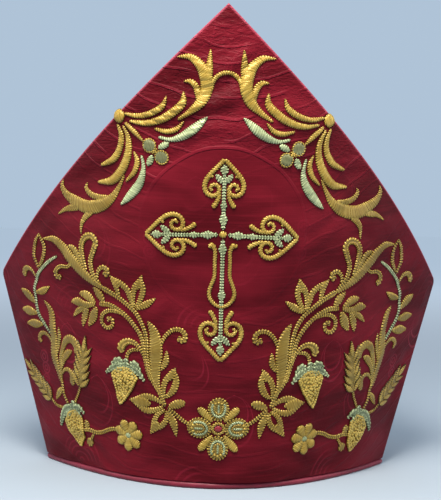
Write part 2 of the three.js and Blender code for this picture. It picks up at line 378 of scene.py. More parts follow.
# Sprays at the two sides, and the garland of flowers along the rim.
SPRAY_GOLD = [
    braid((-65.4, 29.4, 2), (-71, 29.4, 2.6), (-76.6, 27.4, 2.5), (-82.4, 24, 2.5), (-88.4, 22, 2.5),
          (-95, 22, 2.4), (-100.4, 20.4, 2)),
    leaf((-95.8, 22, 2), (-97.6, 24.8, 5), (-98.6, 27.8, 2.4)),
    braid((-90, 20.6, 1.4), (-92, 17.6, 1.8), (-93.4, 15.2, 2)),
    disc(-95.2, 13, 3, "leaf"),
    braid((-107.8, 37.6, 1.6), (-104.4, 44.4, 1.7), (-102, 50, 1.7)),
    braid((-120, 30, 1.6), (-125, 29.4, 1.7), (-130, 29.7, 1.7), (-134.4, 31.8, 1.7)),
    braid((-115.6, 34, 1.8), (-120, 41.6, 2.1), (-121.8, 50, 2.3)),
    leaf((-120.8, 44.8, 1.6), (-125, 40, 4.4), (-129.2, 33.8, 1)),
    leaf((-121.8, 48, 2.4), (-126, 57.6, 5.4), (-128.6, 67.4, 7), (-129.1, 78, 6.8), (-129.2, 89, 6),
         (-131.6, 97.4, 4.4), (-137, 102, 0.9)),
    leaf((-125.8, 66.4, 1.8), (-124, 75, 3), (-122.4, 81.4, 3), (-122.5, 86.6, 0.8)),
    flat_satin((-121.8, 48, 2), (-121.8, 58.6, 2.8), (-120.4, 70, 4), (-116.6, 78, 5),
               (-111.2, 81.4, 5.6), (-106.6, 80, 6), (-104.6, 76, 5), (-106.2, 73.2, 3.4)),
    leaf((-121, 57.6, 1.5), (-118.4, 64.6, 3.4), (-114, 70.6, 5), (-109.2, 73.4, 1.4)),
    flat_satin((-120.8, 54.4, 1.6), (-117.6, 58.2, 2.4), (-113.2, 59.4, 3), (-110, 57, 4),
               (-109.6, 52.8, 5), (-110.4, 49.4, 4)),
    flat_satin((-131.4, 73, 1.6), (-135, 77, 2.4), (-140, 78.3, 2.8), (-144.6, 76, 3.2),
               (-146, 72.4, 3.4), (-143.4, 71, 2.6)),
    leaf((-146.4, 97.8, 1.8), (-155.5, 102, 6.4), (-163, 104.4, 1.4)),
    leaf((-145, 91.2, 1.8), (-155.5, 90.6, 6.2), (-164, 90, 1.4)),
    leaf((-139.4, 84.8, 1.8), (-149.8, 82.6, 6.2), (-158.8, 80.8, 1.4)),
    leaf((-144.6, 106, 1.6), (-136.4, 109, 4.8), (-129.5, 113.3, 0.9)),
    flat_satin((-144, 117, 1.6), (-148, 121, 2.7), (-153.4, 121.2, 3.6), (-157.4, 118, 5),
               (-157, 114.6, 5.4)),
    braid((-139.4, 123.8, 2), (-143.6, 131.6, 2.6), (-142.4, 139.6, 2.8), (-137, 148, 1.2)),
    braid((-137, 148, 1.2), (-132.4, 140.4, 2.8), (-133.6, 132.6, 2.6), (-138.4, 125.6, 1.8)),
]

SPRAY_MINT = [
    braid((-132, 79.6, 1.8), (-138, 85.2, 2.2), (-143.6, 90.8, 2.3), (-146.3, 98.6, 2.3),
          (-145.6, 109, 2.3), (-142.4, 117, 2.3), (-137.6, 122.8, 2.3), (-131, 128.6, 2.2),
          (-125.6, 132.4, 2), (-120, 135.7, 1.4)),
    cap((-109.4, 34.4, 3.4), (-104.4, 35.2, 4.4), (-98.8, 32.6, 1.4)),
    cap((-109.8, 32, 2.4), (-106.2, 31.4, 3.8), (-102.2, 28.8, 1.2)),
    cap((-112, 33.6, 3.6), (-118.6, 29.8, 5), (-122.4, 23.4, 4.2), (-125, 16, 1.2)),
    cap((-112, 31, 2.4), (-115.6, 27.4, 4), (-117.4, 22.4, 1.2)),
    cap((-111, 30.6, 1.8), (-110.6, 34.4, 4.8), (-109.4, 38.6, 2.2)),
]

# Ears of wheat: foot, tip and greatest width.
WHEAT = [
    ((-102, 50), (-95.3, 87.2), 13.5),
    ((-134.4, 31.8), (-168.6, 51.6), 11.5),
]

WHEAT_PAIRS = 5

# Middle of the flower and the number of its petals, and the middles of the cross and the rosette.
FLOWER_CENTRE = (-60, 27.9)
FLOWER_PETALS = 7
CROSS_CENTRE = np.array([0, CROSS_HEIGHT])
ROSETTE_CENTRE = np.array([0, 40.2])


def toward(place, direction, along, across):
    """Point at a distance along a direction and to its left."""
    side = np.array([-direction[1], direction[0]])
    return place + direction * along + side * across


# The heart at the end of a cross arm, from its tip: millimetres across, inward and the width there.
HEART_CORD = ((0, 0.5, 2.8), (4.2, 5, 2.8), (7.9, 9, 2.9), (10.8, 13.2, 3), (11.6, 17.2, 3),
              (10.2, 20.8, 2.9), (7, 22.4, 2.8), (3.8, 21.2, 2.7), (2.9, 18.4, 2.6), (4.4, 16, 2.5),
              (7.1, 16, 2.4), (8.2, 18.2, 2.2), (6.6, 19.4, 1.8))
HEART_TAIL = ((2.8, 19.6, 1.8), (3, 23, 2.5), (4.5, 26.6, 2.8), (6.6, 29.6, 3.3))
HEART_SPUR = ((9.6, 10.4, 1.6), (6.4, 11, 1.9))
HEART_BUD = ((0, 3.6, 0.9), (0, 6.8, 5), (0, 10.4, 1.2))
HEART_LOBE = ((0.3, 14.6, 2.2), (2.6, 12.4, 3.8), (5, 9.6, 1.8))


def from_tip(style, path, tip, direction, size, side):
    """Stroke of a heart, set at the tip of its arm on one side of it."""
    points = []
    for across, inward, width in path:
        points.append((*toward(tip, -direction, inward * size, side * across * size), width))
    return (style, points)


def heart(tip, direction, size):
    """End of a cross arm: two cords that curl inwards, with their tails and spurs."""
    strokes = []
    for side in (-1, 1):
        for path in (HEART_CORD, HEART_TAIL, HEART_SPUR):
            strokes.append(from_tip("cord", path, tip, direction, size, side))
    return strokes


def heart_filling(tip, direction, size):
    """Pale green bud and side lobes inside a heart."""
    strokes = [from_tip("leaf", HEART_BUD, tip, direction, size, 1)]
    for side in (-1, 1):
        strokes.append(from_tip("leaf", HEART_LOBE, tip, direction, size, side))
    return strokes


def broader(strokes, share):
    """The same strokes with every width grown by a share."""
    grown = []
    for style, points in strokes:
        grown.append((style, [(side, up, width * share) for side, up, width in points]))
    return grown


def ring(centre, radius, width):
    """Closed round cord."""
    points = []
    for turn in np.linspace(0, 2 * math.pi, 15):
        points.append((centre[0] + radius * math.cos(turn), centre[1] + radius * math.sin(turn), width))
    return ("cord", points)


def straight(start, end, *widths, style="leaf"):
    """Straight stroke with widths spread evenly along it."""
    start = np.array(start, float)
    end = np.array(end, float)
    shares = np.linspace(0, 1, len(widths))
    return (style, [(*(start + (end - start) * share), width) for share, width in zip(shares, widths)])


# Arms of the cross: direction, reach in millimetres and the size of the heart at the end. Each arm has a
# knop, and those with less reach than LONG_ARM have a second one. A knop is given by where it starts and
# ends along the arm.
CROSS_ARMS = (
    ((0, 1), 45.8, 1.0),
    ((-1, -0.045), 48, 1.08),
    ((1, -0.066), 47, 1.07),
    ((0, -1), 79, 1.08),
)
LONG_ARM = 60
KNOP = (4.6, 13.4)
SECOND_KNOP = (15, 20)

# The left cord of the lyre round the long arm.
LYRE = ((-8.6, 155.6, 2.4), (-6.6, 156.6, 3.2), (-4.7, 154, 2.5), (-4.6, 146, 2.3), (-4.7, 137, 2.3),
        (-6.3, 132.4, 2.3), (-7.6, 127.6, 2.4), (-6.9, 123.6, 2.4), (-4, 120.2, 2.3), (0, 118.2, 2.2))


def cross_strokes():
    """The cross with four heart ends: gold strokes and pale green strokes."""
    gold = []
    mint = []
    for direction, reach, size in CROSS_ARMS:
        direction = np.array(direction, float)
        tip = CROSS_CENTRE + direction * reach
        gold += heart(tip, direction, size)
        mint += heart_filling(tip, direction, size)
        inner = CROSS_CENTRE + direction * 3
        outer = tip - direction * 10 * size
        mint.append(("braid", [(*inner, 2.4), (*((inner + outer) / 2), 2.4), (*outer, 2.4)]))
        start, end = [CROSS_CENTRE + direction * along for along in KNOP]
        mint.append(straight(start, end, 1, 3.4, 5, 3.4, 1))
        if reach < LONG_ARM:
            start, end = [CROSS_CENTRE + direction * along for along in SECOND_KNOP]
            mint.append(straight(start, end, 2, 4, 2))
    mint.append(straight((0, 129), (0, 122.6), 2, 4.6, 2))
    gold.append(("cord", LYRE))
    gold.append(("cord", [(-side, up, width) for side, up, width in LYRE]))
    gold.append(disc(*CROSS_CENTRE, 2.2))
    return gold, mint


# Petals of the rosette: direction, reach, half width and half length in millimetres.
ROSETTE_PETALS = (
    ((0, 1), 12.7, 6.5, 7.9),
    ((0, -1), 12.9, 6.5, 8.1),
    ((1, 0), 11.6, 6.9, 7.9),
    ((-1, 0), 11.6, 6.9, 7.9),
)

# Leaves between the petals: inner end and outer end, to the side of the rosette's middle and up from it.
ROSETTE_LEAVES = (((-3.6, 4.6), (-12.6, 13.4)), ((-3.6, -4.6), (-11.8, -14.8)))

# Loop inside each petal, as shares of its half length and half width.
PETAL_LOOP = ((0.8, 0.86), (0.1, 1.0), (-0.62, 0.74), (-0.95, 0), (-0.62, -0.74), (0.1, -1.0),
              (0.8, -0.86))


def rosette_strokes():
    """The four-petal rosette in the middle of the rim."""
    gold = []
    mint = []
    for inner, outer in ROSETTE_LEAVES:
        for mirror in (1, -1):
            start = ROSETTE_CENTRE + [inner[0] * mirror, inner[1]]
            end = ROSETTE_CENTRE + [outer[0] * mirror, outer[1]]
            gold.append(straight(start, end, 1.8, 3.6, 4.8, 5, 3.4, style="satin"))
    for direction, reach, half_width, half_length in ROSETTE_PETALS:
        direction = np.array(direction, float)
        centre = ROSETTE_CENTRE + direction * reach
        foot = centre - direction * half_length * 0.86
        crown = centre + direction * half_length * 0.86
        gold.append(straight(foot, crown, 5, half_width * 1.7, half_width * 1.8, 6, style="pad"))
        border = []
        for turn in np.linspace(0, 2 * math.pi, 17):
            along = math.cos(turn) * half_length * 0.85
            across = math.sin(turn) * half_width * 0.84
            border.append((*toward(centre, direction, along, across), 2.3))
        gold.append(("braid", border))
        start = centre - direction * 2.6
        end = centre + direction * 3.4
        mint.append(straight(start, end, 1.2, 1.5, 1.2, style="loop"))
        for share, width, thread in ((0.62, 1.6, mint), (0.38, 1.4, gold)):
            loop = []
            for length_share, width_share in PETAL_LOOP:
                along = length_share * half_length * share
                across = width_share * half_width * share
                loop.append((*toward(centre, direction, along, across), width))
            thread.append(("loop", loop))
        for turn in np.radians((-64, -32, 0, 32, 64)):
            along = math.cos(turn) * half_length * 0.6
            across = math.sin(turn) * half_width * 0.56
            gold.append(("knot", [(*toward(centre, direction, along, across), 0.95)]))
    gold.append(ring(ROSETTE_CENTRE, 3.5, 2))
    return gold, mint


def wheat_strokes():
    """Ears of overlapping grains: pairs that lean out from the stalk, and a grain at the tip."""
    strokes = []
    for foot, tip, width in WHEAT:
        foot = np.array(foot)
        axis = np.array(tip) - foot
        length = np.linalg.norm(axis)
        axis = axis / length
        top = toward(foot, axis, length * 0.84, 0)
        strokes.append(straight(foot, top, 2, width * 0.62, width * 0.62, width * 0.34, style="pad"))
        for pair in range(WHEAT_PAIRS):
            share = pair / WHEAT_PAIRS
            along = length * (0.02 + 0.72 * share)
            reach = width * (0.5 - 0.12 * share)
            for side in (-1, 1):
                start = toward(foot, axis, along, side * 0.3)
                middle = toward(foot, axis, along + length * 0.1, side * reach * 0.62)
                end = toward(foot, axis, along + length * 0.25, side * reach * 1.22)
                strokes.append(("grain", [(*start, 1.2), (*middle, 4 - share), (*end, 0.6)]))
        start = toward(foot, axis, length * 0.7, 0)
        strokes.append(straight(start, tip, 1.6, 4, 3, 0.7, style="grain"))
    return strokes


def flower_strokes():
    """Seven round petals."""
    strokes = []
    for petal in range(FLOWER_PETALS):
        angle = 2 * math.pi * petal / FLOWER_PETALS - math.pi / 2
        direction = np.array([math.cos(angle), math.sin(angle)])
        start = np.array(FLOWER_CENTRE) + direction * 1.2
        end = np.array(FLOWER_CENTRE) + direction * 10.6
        strokes.append(straight(start, end, 3, 5.2, 6.8, 6.2, style="petal"))
    return strokes


# The right half is not a true mirror of the left: it lies a little nearer the middle and rises more.
RIGHT_SHARE = 0.977
RIGHT_RISE = 0.02
RIGHT_RISE_START = 60


def on_right(side, up):
    """Place on the right half that answers to a place on the left half."""
    return -side * RIGHT_SHARE, up + RIGHT_RISE * max(-side - RIGHT_RISE_START, 0)


def mirrored(strokes):
    """The strokes of the left half together with those of the right half."""
    other = []
    for style, points in strokes:
        other.append((style, [(*on_right(side, up), width) for side, up, width in points]))
    return list(strokes) + other


# Stitched meshes

# How finely a stroke is divided along its beads and across, where one narrower than NARROW_STROKE
# millimetres has fewer columns.
SAMPLES_PER_BEAD = 6
NARROW_STROKE = 3.4
NARROW_COLUMNS = 9
BROAD_COLUMNS = 13

# How far in from the edge the beads reach, the width of a thread and the height of a stroke's rim, which
# is sunk into the cloth, in millimetres.
BEAD_DEPTH = 1.5
THREAD_PITCH = 0.8
SUNK_RIM = -0.25

# Threads are counted from a random start in each stroke, so that their streaks differ. Padding under the
# knots is painted at one level of light all over, a little towards the painted shade.
THREAD_SHIFT = 400
PAD_PAINTED_LIGHT = 0.42


def between(at, start, end, low, high):
    """Level at a time on the straight line between two timed levels."""
    return ((end - at) * low + (at - start) * high) / (end - start)


def smooth_path(points):
    """Smooth curve through points with widths: its places, widths and lengths, and whether it closes."""
    points = np.array(points, float)
    if len(points) == 2:
        points = np.array([points[0], points.mean(0), points[1]])
    closed = len(points) > 4 and np.allclose(points[0, :2], points[-1, :2])
    before = points[-2] if closed else 2 * points[0] - points[1]
    after = points[1] if closed else 2 * points[-1] - points[-2]
    guide = np.vstack([before, points, after])
    gaps = np.sqrt(np.maximum(np.linalg.norm(np.diff(guide[:, :2], axis=0), axis=1), 1e-6))
    knots = np.concatenate([[0], np.cumsum(gaps)])
    pieces = []
    for i in range(1, len(guide) - 2):
        at = np.linspace(knots[i], knots[i + 1], 24, endpoint=False)[:, None]
        level = guide[i - 1:i + 3]
        times = knots[i - 1:i + 3]
        one = [between(at, times[k], times[k + 1], level[k], level[k + 1]) for k in range(3)]
        two = [between(at, times[k], times[k + 2], one[k], one[k + 1]) for k in range(2)]
        pieces.append(between(at, times[1], times[2], two[0], two[1]))
    path = np.vstack(pieces + [points[-1:]])
    lengths = np.concatenate([[0], np.cumsum(np.linalg.norm(np.diff(path[:, :2], axis=0), axis=1))])
    return path[:, :2], np.maximum(path[:, 2], 0.4), lengths, closed


# Each kind of stitching: spacing and slant of the beads where its threads turn over the edge, their
# height and how far they stand out, how far the padding lifts it and the painted brightness of its
# middle. Some kinds also have a groove along the middle, painted darker as shade, a height that they
# rest at, the width of their rim painted dark as shade, how bright the painted highlights on the beads
# are and how flat the crown is.
COMMON_STITCHING = {"groove": 0.0, "rest": 0.0, "rim": 0.25, "shine": 1.0, "crown": 2.6}
STITCHING = {
    "satin": {"pitch": 1.35, "slant": 0.3, "bead": 0.3, "teeth": 0.5, "lift": 1.0, "middle": 0.6},
    "flat": {"pitch": 1.5, "slant": 0.3, "bead": 0.3, "teeth": 0.4, "lift": 0.62, "middle": 0.3,
             "crown": 4.0},
    "leaf": {"pitch": 1.75, "slant": 0.3, "bead": 0.6, "teeth": 0.9, "lift": 0.65, "middle": 0.3,
             "crown": 4.0},
    "braid": {"pitch": 1.75, "slant": 0.4, "bead": 0.65, "teeth": 0.95, "lift": 0.85, "middle": 0.5,
              "groove": 0.4},
    "cord": {"pitch": 1.6, "slant": 0.8, "bead": 0.45, "teeth": 0.5, "lift": 1.0, "middle": 0.6},
    "grain": {"pitch": 1.5, "slant": 0.5, "bead": 0.25, "teeth": 0.35, "lift": 1.0, "middle": 0.55,
              "groove": 0.12, "rest": 0.15, "rim": 0.7},
    "petal": {"pitch": 1.2, "slant": 0.2, "bead": 0.12, "teeth": 0.15, "lift": 0.95, "middle": 0.5,
              "rim": 0.5},
    "cap": {"pitch": 2.3, "slant": 0.8, "bead": 0.8, "teeth": 1.4, "lift": 0.85, "middle": 0.36,
            "groove": 0.25, "rest": 0.2, "shine": 0.95},
    "pad": {"pitch": 1.6, "slant": 0.3, "bead": 0.2, "teeth": 0.3, "lift": 0.5, "middle": 0.3,
            "shine": 0.5},
    "loop": {"pitch": 1.3, "slant": 0.6, "bead": 0.25, "teeth": 0.25, "lift": 0.9, "middle": 0.7,
             "rest": 0.7},
}
STITCHING = {style: {**COMMON_STITCHING, **kind} for style, kind in STITCHING.items()}


class Stitches:
    """Closed stitched strokes collected into one mesh."""

    def __init__(self):
        self.points = []
        self.faces = []
        self.painted_light = []
        self.thread = []
        self.count = 0

    def add(self, flat, lift, faces, painted_light, thread):
        height = cloth_relief(flat, FRONT_SEED) + lift
        points = on_cone(flat) + outward(flat) * height[..., None]
        self.points.append(points.reshape(-1, 3))
        self.faces += [tuple(self.count + corner for corner in face) for face in faces]
        self.painted_light.append(np.ravel(painted_light))
        self.thread.append(np.ravel(thread))
        self.count += self.points[-1].shape[0]

    def stroke(self, style, drawn):
        """Padded stroke whose threads turn over its edges as beads."""
        kind = STITCHING[style]
        path, widths, lengths, closed = smooth_path(drawn)
        total = lengths[-1]
        beads = max(round(total / kind["pitch"]), 3)
        pitch = total / beads
        rows = beads * SAMPLES_PER_BEAD + 1
        along = np.linspace(0, total, rows)
        place = np.stack([np.interp(along, lengths, path[:, k]) for k in (0, 1)], 1)
        half = np.interp(along, lengths, widths) / 2
        heading = np.gradient(place, along, axis=0)
        if closed:
            ends = heading[0] + heading[-1]
            heading[0] = ends
            heading[-1] = ends
        heading = heading / np.linalg.norm(heading, axis=1)[:, None]
        sideways = np.stack([-heading[:, 1], heading[:, 0]], 1)
        broad = half.max() * 2
        if not closed:
            for near, tip in ((along, half[0]), (total - along, half[-1])):
                round_off = np.clip(near / max(tip, 0.2), 0, 1)
                half = half * np.sqrt(np.clip(1 - (1 - round_off) ** 2, 0.01, 1))
        columns = NARROW_COLUMNS if broad < NARROW_STROKE else BROAD_COLUMNS
        x = np.broadcast_to(np.sin(np.linspace(-1, 1, columns) * math.pi / 2), (rows, columns))
        from_rim = (1 - np.abs(x)) * half[:, None]
        slant = kind["slant"] * (np.abs(x) if kind["groove"] else x) * half[:, None]
        ridge = 0.5 + 0.5 * np.cos(2 * math.pi * (along[:, None] + slant) / pitch)
        edge = smooth_step(BEAD_DEPTH, 0.3 * BEAD_DEPTH, from_rim)
        padding = kind["lift"] * (0.35 + 0.5 * np.sqrt(2 * half))[:, None]
        dome = np.power(np.clip(1 - np.abs(x) ** kind["crown"], 0, 1), 0.55)
        groove = kind["groove"] * np.clip(1 - (x / 0.5) ** 2, 0, 1)
        height = padding * dome * (1 - groove)
        height = height + kind["bead"] * (ridge - 0.5) * edge * smooth_step(0, 0.1, from_rim)
        height = np.where(np.abs(x) > 0.999, SUNK_RIM, height)
        reach = half[:, None] + kind["teeth"] * 0.5 * (ridge - 0.5) * edge
        flat = place[:, None, :] + sideways[:, None, :] * (x * np.maximum(reach, 0.05))[..., None]
        # Painted light on the stitches: a painted highlight on the bead tops, painted shade between the
        # beads and in the groove, and a painted shadow along the rim where the stroke meets the cloth.
        top = ridge * kind["shine"]
        painted_light = np.clip(kind["middle"] + (top - kind["middle"]) * edge - 0.7 * groove, 0, 1)
        painted_light = painted_light * smooth_step(-0.05, kind["rim"], from_rim)
        thread = (along[:, None] + slant) / THREAD_PITCH + random.uniform(0, THREAD_SHIFT)
        faces = []
        for row in range(rows - 1):
            first = row * columns
            after = first + columns
            for column in range(columns - 1):
                faces.append((first + column, first + column + 1, after + column + 1, after + column))
            faces.append((after, after + columns - 1, first + columns - 1, first))
        faces.append(tuple(range(columns))[::-1])
        faces.append(tuple(range((rows - 1) * columns, rows * columns)))
        self.add(flat, height + kind["rest"], faces, painted_light, thread)

    def pad(self, outline, height):
        """Low padding inside an outline that runs anticlockwise."""
        outline = np.array(outline, float)
        count = len(outline)
        middle = outline.mean(0)
        flat = np.vstack([outline, middle + (outline - middle) * 0.88, middle[None]])
        lift = np.repeat([SUNK_RIM, height * 0.75, height], [count, count, 1])
        faces = []
        for corner in range(count):
            after = (corner + 1) % count
            faces.append((corner, after, count + after, count + corner))
            faces.append((count + corner, count + after, 2 * count))
        faces.append(tuple(range(count))[::-1])
        self.add(flat, lift, faces, np.full(len(flat), PAD_PAINTED_LIGHT), np.zeros(len(flat)))

    def knot(self, place, radius, height, base):
        """Small round knot."""
        rings = ((1.0, -0.3), (0.95, 0.45), (0.6, 0.88))
        sides = 8
        flat = []
        lift = []
        for share, up in rings:
            for side in range(sides):
                turn = 2 * math.pi * (side + random.uniform(-0.15, 0.15)) / sides
                flat.append(place + radius * share * np.array([math.cos(turn), math.sin(turn)]))
                lift.append(up * height)
        flat.append(place)
        lift.append(height)
        faces = []
        for level in range(len(rings) - 1):
            for side in range(sides):
                corner = level * sides + side
                after = level * sides + (side + 1) % sides
                faces.append((corner, after, after + sides, corner + sides))
        top = len(rings) * sides
        for side in range(sides):
            faces.append((top - sides + side, top - sides + (side + 1) % sides, top))
        faces.append(tuple(range(sides))[::-1])
        # Painted shade at the foot of the knot, rising to a painted highlight on its top.
        painted_light = np.repeat([0.12, 0.45, 0.9], sides).tolist() + [1.0]
        thread = np.full(len(flat), random.uniform(0, THREAD_SHIFT))
        self.add(np.array(flat), np.array(lift) + base, faces, painted_light, thread)

    def finish(self, name, material):
        mesh = bpy.data.meshes.new(name)
        mesh.from_pydata((np.vstack(self.points) * MM).tolist(), [], self.faces)
        for label, values in (("painted_light", self.painted_light), ("thread", self.thread)):
            layer = mesh.attributes.new(label, "FLOAT", "POINT")
            layer.data.foreach_set("value", np.concatenate(values).astype(np.float32))
        mesh.shade_smooth()
        mesh.materials.append(material)
        piece = bpy.data.objects.new(name, mesh)
        bpy.context.collection.objects.link(piece)
        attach(piece, "root")
        return piece


def inside_outline(point, outline):
    """Whether a point lies inside a closed outline."""
    inside = False
    for (ax, ay), (bx, by) in zip(outline, outline[1:] + outline[:1]):
        spans = (ay > point[1]) != (by > point[1])
        if spans and point[0] < ax + (point[1] - ay) * (bx - ax) / (by - ay):
            inside = not inside
    return inside


def inset_outline(outline, inset, spacing):
    """Even places along a closed outline, moved towards its middle."""
    corners = np.array(outline + outline[:1], float)
    lengths = np.concatenate([[0], np.cumsum(np.linalg.norm(np.diff(corners, axis=0), axis=1))])
    count = round(lengths[-1] / spacing)
    at = np.linspace(0, lengths[-1], count, endpoint=False)
    places = np.stack([np.interp(at, lengths, corners[:, k]) for k in (0, 1)], 1)
    middle = corners[:-1].mean(0)
    apart = middle - places
    return places + apart * (inset / np.maximum(np.linalg.norm(apart, axis=1), inset))[:, None]


# Spacing of the knots in millimetres, and how many random places are tried in each bunch.
GRAPE_SPACING = 1.8
GRAPE_TRIES = 900


def grape_knots(stitches, outline):
    """Padding and the knots packed on it inside the outline of a bunch, higher in its middle."""
    middle = np.mean(outline, axis=0)
    low = np.min(outline, axis=0)
    high = np.max(outline, axis=0)
    stitches.pad(outline, 1.0)
    places = list(inset_outline(outline, 0.7, GRAPE_SPACING * 0.95))
    for _ in range(GRAPE_TRIES):
        place = random.uniform(low, high)
        apart = min(np.linalg.norm(place - other) for other in places)
        if inside_outline(place, outline) and apart > GRAPE_SPACING * 0.7:
            places.append(place)
    for place in places:
        swell = 1 - min(np.linalg.norm(place - middle) / 14, 1)
        stitches.knot(place, random.uniform(0.95, 1.3), random.uniform(0.8, 1.1), 0.3 + 0.7 * swell)


# Materials

def add_node(tree, kind, inputs=None, **settings):
    node = tree.nodes.new(kind)
    for name, value in settings.items():
        setattr(node, name, value)
    for name, value in (inputs or {}).items():
        if isinstance(value, bpy.types.NodeSocket):
            tree.links.new(value, node.inputs[name])
        else:
            node.inputs[name].default_value = value
    return node


def calculate(tree, operation, *values):
    inputs = dict(enumerate(values))
    return add_node(tree, "ShaderNodeMath", inputs, operation=operation).outputs[0]


def on_vectors(tree, operation, *values):
    inputs = dict(enumerate(values))
    return add_node(tree, "ShaderNodeVectorMath", inputs, operation=operation).outputs[0]


def noise(tree, place, scale, detail, distortion=0.0):
    """Soft random texture, with a value and a colour."""
    inputs = {"Vector": place, "Scale": scale, "Detail": detail, "Distortion": distortion}
    return add_node(tree, "ShaderNodeTexNoise", inputs)


def scaled(tree, place, scale):
    return add_node(tree, "ShaderNodeMapping", {"Vector": place, "Scale": scale}).outputs[0]


def attribute(tree, name):
    return add_node(tree, "ShaderNodeAttribute", attribute_name=name).outputs["Fac"]


def blend_colours(tree, share, low, high):
    node = add_node(tree, "ShaderNodeMix", {0: share, 6: low, 7: high}, data_type="RGBA")
    return node.outputs[2]


def ramp(tree, value, low, high, start=0.0, end=1.0):
    """Smooth step from start to end as a value goes from low to high."""
    node = add_node(tree, "ShaderNodeMapRange", {0: value, 1: low, 2: high, 3: start, 4: end},
                    interpolation_type="SMOOTHSTEP")
    return node.outputs[0]


def add_bump(tree, shader, height, strength, distance):
    inputs = {"Height": height, "Strength": strength, "Distance": distance}
    bump = add_node(tree, "ShaderNodeBump", inputs)
    tree.links.new(bump.outputs[0], shader.inputs["Normal"])


def group_with(name, inputs, outputs):
    tree = bpy.data.node_groups.new(name, "ShaderNodeTree")
    for label, kind in inputs:
        tree.interface.new_socket(label, in_out="INPUT", socket_type=kind)
    for label, kind in outputs:
        tree.interface.new_socket(label, in_out="OUTPUT", socket_type=kind)
    return tree, tree.nodes.new("NodeGroupInput"), tree.nodes.new("NodeGroupOutput")


def thread_shade_group():
    """Thread colour: painted shade between threads, painted highlights on top, each a little different.
    """
    tree, given, result = group_with(
        "thread_shade",
        [("Shadow", "NodeSocketColor"), ("Thread", "NodeSocketColor"), ("Light", "NodeSocketColor")],
        [("Colour", "NodeSocketColor"), ("Height", "NodeSocketFloat")],
    )
    painted_light = attribute(tree, "painted_light")
    thread = attribute(tree, "thread")
    place = add_node(tree, "ShaderNodeTexCoord").outputs["Object"]
    fine = add_node(tree, "ShaderNodeTexNoise", {"W": thread, "Scale": 1.0, "Detail": 1.0},
                    noise_dimensions="1D").outputs[0]
    patch = noise(tree, place, scale=75.0, detail=2.0).outputs[0]
    body = blend_colours(tree, ramp(tree, fine, 0.3, 0.7, 0.1, 0.8), given.outputs["Thread"],
                         given.outputs["Light"])
    body = blend_colours(tree, ramp(tree, patch, 0.4, 0.65, 0.0, 0.55), body, given.outputs["Thread"])
    # Painted shade: the Shadow colour where the painted light is low, between beads, in grooves and along
    # the rim.
    colour = blend_colours(tree, ramp(tree, painted_light, 0.02, 0.5), given.outputs["Shadow"], body)
    # Painted highlight: the Light colour on the bead tops.
    colour = blend_colours(tree, ramp(tree, painted_light, 0.7, 1.0, 0.0, 0.75), colour, given.outputs["Light"])
    tree.links.new(colour, result.inputs["Colour"])
    tree.links.new(fine, result.inputs["Height"])
    return tree


def weave_group():
    """Fine crossed threads of a cloth, from a position in metres: relief and a light and dark streak."""
    tree, given, result = group_with(
        "weave",
        [("Position", "NodeSocketVector"), ("Threads", "NodeSocketFloat")],
        [("Height", "NodeSocketFloat"), ("Streak", "NodeSocketFloat")],
    )
    place = given.outputs["Position"]
    threads = given.outputs["Threads"]
    warp = add_node(tree, "ShaderNodeTexWave", {"Vector": place, "Scale": threads, "Distortion": 0.3},
                    bands_direction="X").outputs["Fac"]
    weft = add_node(tree, "ShaderNodeTexWave", {"Vector": place, "Scale": threads, "Distortion": 0.3},
                    bands_direction="Y").outputs["Fac"]
    streak = noise(tree, scaled(tree, place, (30, 700, 300)), scale=1.0, detail=3.0).outputs[0]
    tree.links.new(calculate(tree, "MAXIMUM", warp, weft), result.inputs["Height"])
    tree.links.new(streak, result.inputs["Streak"])
    return tree


THREAD_SHADE = thread_shade_group()
WEAVE = weave_group()


def new_material(name, **constants):
    material = bpy.data.materials.new(name)
    material.use_nodes = True
    tree = material.node_tree
    shader = tree.nodes["Principled BSDF"]
    for label, value in constants.items():
        shader.inputs[label.replace("_", " ")].default_value = value
    return material, tree, shader


def use_group(tree, group, **inputs):
    return add_node(tree, "ShaderNodeGroup", inputs, node_tree=group)


def thread_material(name, shadow, thread, light, **constants):
    material, tree, shader = new_material(name, **constants)
    shade = use_group(tree, THREAD_SHADE, Shadow=shadow, Thread=thread, Light=light)
    tree.links.new(shade.outputs["Colour"], shader.inputs["Base Color"])
    add_bump(tree, shader, shade.outputs["Height"], strength=0.8, distance=0.0003)
    return material


def line_at(tree, value, place, half_width):
    """Mask of a thin line where a value passes a place."""
    gap = calculate(tree, "ABSOLUTE", calculate(tree, "SUBTRACT", value, place))
    return ramp(tree, gap, half_width, half_width * 2.2, 1.0, 0.0)


# Repeats of the woven figure, the centre and size of each motif, the spacing of the fans' arcs, the half
# width of the lines and how far they wander, in metres.
MEDALLION_REPEAT = (0.19, 0.21)
FIGURE_REPEAT = (0.095, 0.105)
ROUNDELS = (((-0.14, 0.062), 0.0042), ((-0.14, 0.0535), 0.0038), ((-0.14, 0.0455), 0.0034))
DROPS = (((-0.085, 0.062), 0.034), ((-0.112, 0.092), 0.028))
FANS = (((-0.104, -0.004), 0.02),)
FAN_SPACING = 0.0042
FIGURE_LINE = 0.0004
DROP_LINE = 0.0005
FIGURE_WANDER = (0.007, 0.007, 0.007)

# Arcs that sag below the peak, in metres, and the scale and share of each layer of crinkles.
ARC_CENTRE = (0.0, 0.345)
ARC_SPACING = 0.0105
CRINKLES = (((105, 235), 1.2), ((210, 470), 0.9))

# A repeat so long that a centre stands once on the panel.
NO_REPEAT = (2.0, 2.0)


